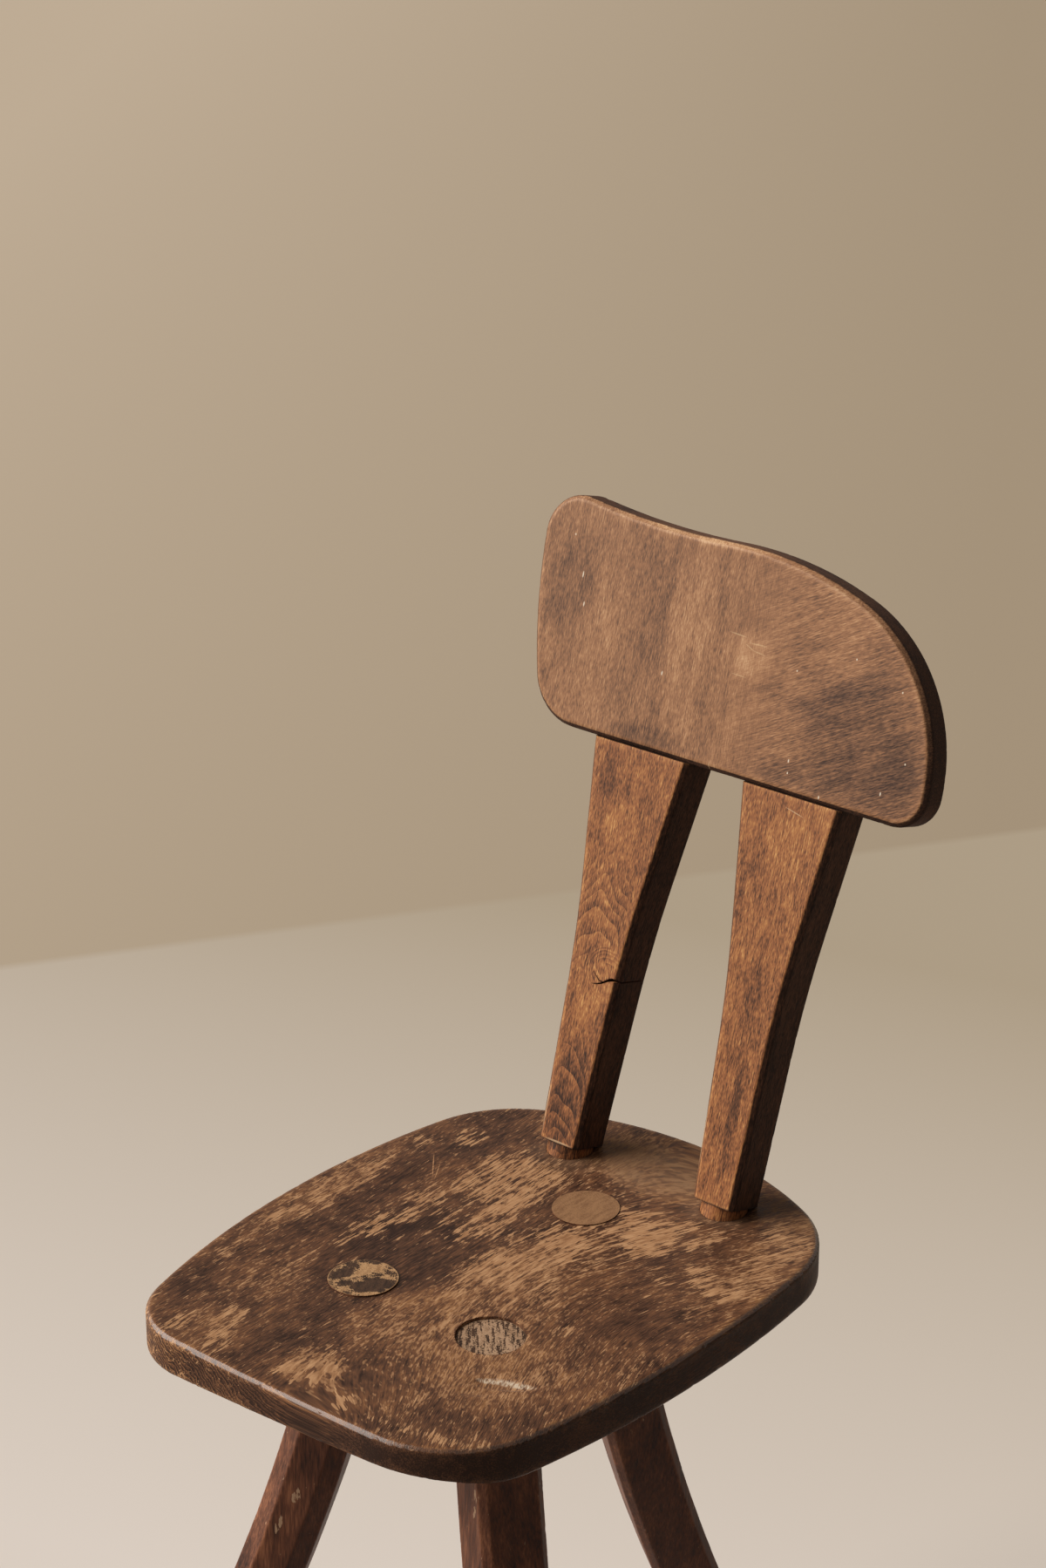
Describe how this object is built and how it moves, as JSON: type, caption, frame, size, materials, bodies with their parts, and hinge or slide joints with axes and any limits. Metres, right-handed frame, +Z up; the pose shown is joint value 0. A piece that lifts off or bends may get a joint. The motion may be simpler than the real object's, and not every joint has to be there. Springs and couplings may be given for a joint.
{
  "type": "tripod chair",
  "caption": "Low wooden chair with a rounded plank seat on splayed curved legs, and a free-form back board on flared leaning uprights.",
  "frame": {"origin": "on the floor, under the middle of the chair's outer box", "axes": "+Z up, +Y towards the back of the chair, +X to the right of someone who faces its front"},
  "size_m": [0.4258, 0.4827, 0.8462],
  "materials": {
    "worn_seat_wood": "dark stain worn through to bare wood",
    "dark_leg_wood": "dark stain, satin, scuffed",
    "brown_upright_wood": "brown stain, satin",
    "brown_board_wood": "brown stain, satin, polished by use",
    "screw_steel": "dulled steel"
  },
  "bodies": {
    "root": {"seat": "worn_seat_wood", "front_left_leg": "dark_leg_wood", "front_right_leg": "dark_leg_wood", "rear_leg": "dark_leg_wood", "left_upright": "brown_upright_wood", "right_upright": "brown_upright_wood", "back_board": "brown_board_wood", "left_lower_screw": "screw_steel", "left_upper_screw": "screw_steel", "right_lower_screw": "screw_steel", "right_upper_screw": "screw_steel"}
  },
  "joints": []
}
